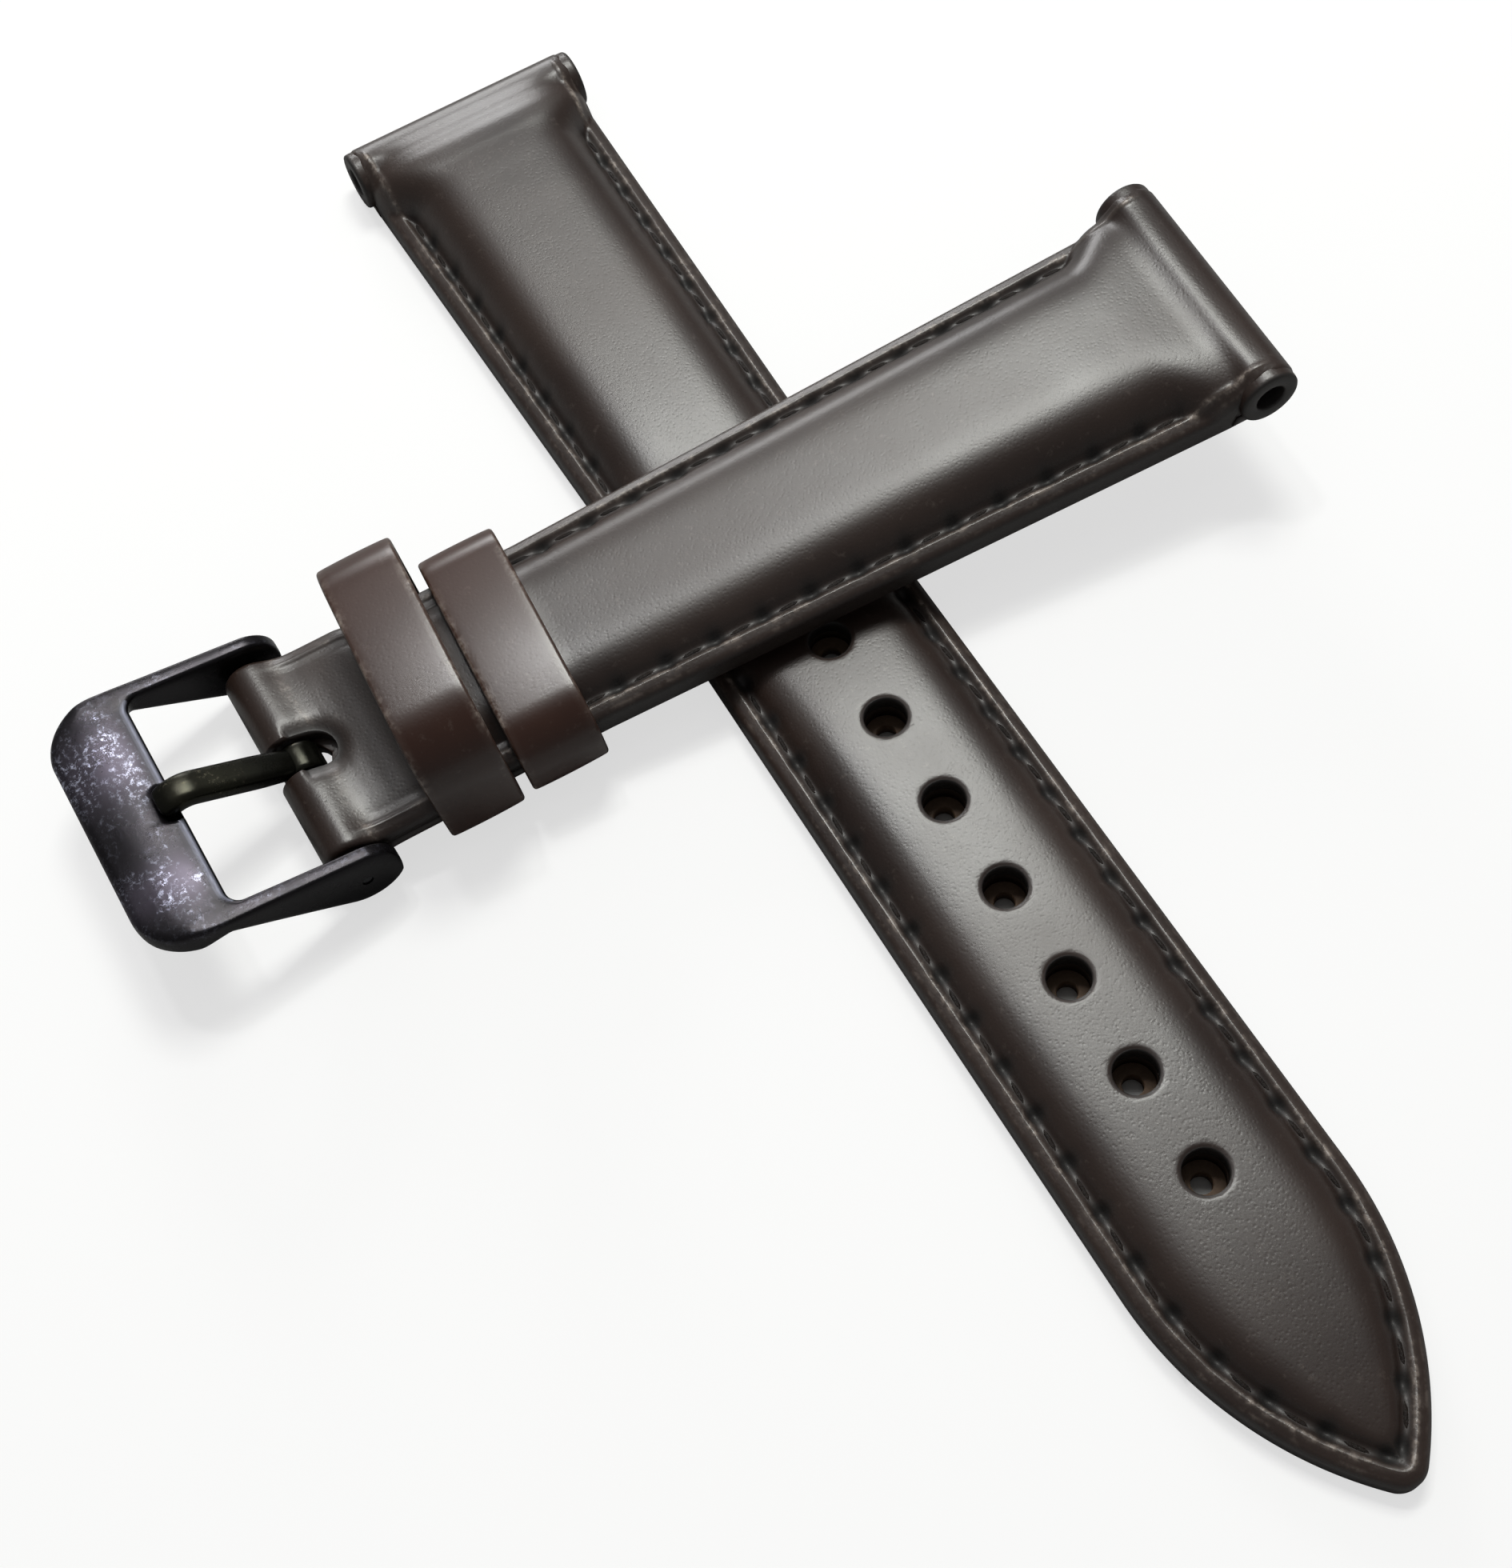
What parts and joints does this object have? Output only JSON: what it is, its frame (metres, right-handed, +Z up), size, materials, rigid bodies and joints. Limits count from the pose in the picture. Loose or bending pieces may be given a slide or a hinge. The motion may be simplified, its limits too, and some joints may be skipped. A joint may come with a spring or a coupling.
{
  "type": "watch strap",
  "caption": "Two-piece padded leather watch strap with stitched edges, punched tail, keepers, spring bar and pin buckle; lug bores take the watch's spring bars.",
  "frame": {"origin": "centre of the lug bore of the long piece, on its axis and halfway across its width", "axes": "+X along the long piece from its lug end to its tip, +Y along its lug bore, +Z up from the table that the long piece lies on"},
  "size_m": [0.113, 0.0793, 0.012],
  "materials": {
    "top_leather": "smooth glazed dark brown calf, semi-gloss",
    "lining_leather": "matte brown lining",
    "padding": "raw split leather filler",
    "thread": "waxed dark brown thread",
    "keeper_leather": "smooth glazed dark brown calf, semi-gloss",
    "keeper_lining": "matte brown lining",
    "bar_steel": "drawn stainless steel",
    "spring_steel": "spring wire",
    "buckle_black": "glossy black plating, worn on the front bar",
    "tongue_black": "glossy black plating, worn to olive brass on top"
  },
  "bodies": {
    "long_strap": {"long_top_leather": "top_leather", "long_padding": "padding", "long_lining": "lining_leather", "long_needle_thread": "thread", "long_bobbin_thread": "thread"},
    "short_strap": {"short_top_leather": "top_leather", "short_padding": "padding", "short_lining": "lining_leather", "short_needle_thread": "thread", "short_bobbin_thread": "thread", "fixed_keeper_leather": "keeper_leather", "fixed_keeper_lining": "keeper_lining", "spring_bar_tube": "bar_steel", "spring_bar_spring": "spring_steel"},
    "free_keeper": {"free_keeper_leather": "keeper_leather", "free_keeper_lining": "keeper_lining"},
    "buckle_frame": {"buckle_frame": "buckle_black"},
    "buckle_tongue": {"buckle_tongue": "tongue_black"},
    "spring_bar_pin_right": {"spring_bar_pin_right": "bar_steel"},
    "spring_bar_pin_left": {"spring_bar_pin_left": "bar_steel"}
  },
  "joints": [
    {"name": "lift_off", "type": "slide", "parent": "long_strap", "child": "short_strap", "axis": [0, 0, 1], "range_m": [0, 0.025]},
    {"name": "free_keeper_slide", "type": "slide", "parent": "short_strap", "child": "free_keeper", "axis": [0.0557, 0.9965, 0.0628], "range_m": [-0.0025, 0.0005]},
    {"name": "buckle_swing", "type": "hinge", "parent": "short_strap", "child": "buckle_frame", "pos_m": [0.04184, -0.03221, 0.00084], "axis": [-0.9998, -0.0173, -0.0046], "range_deg": [-45, 30]},
    {"name": "tongue_lift", "type": "hinge", "parent": "buckle_frame", "child": "buckle_tongue", "pos_m": [0.04184, -0.03221, 0.00084], "axis": [-0.9998, -0.0173, -0.0046], "range_deg": [0, 70]},
    {"name": "pin_right_press", "type": "slide", "parent": "short_strap", "child": "spring_bar_pin_right", "axis": [-0.9998, -0.0173, -0.0046], "range_m": [0, 0.00115], "stiffness_N_per_m": 200, "deforming": ["spring_bar_spring"]},
    {"name": "pin_left_press", "type": "slide", "parent": "short_strap", "child": "spring_bar_pin_left", "axis": [0.9998, 0.0173, 0.0046], "range_m": [0, 0.00115], "stiffness_N_per_m": 200, "deforming": ["spring_bar_spring"]}
  ]
}
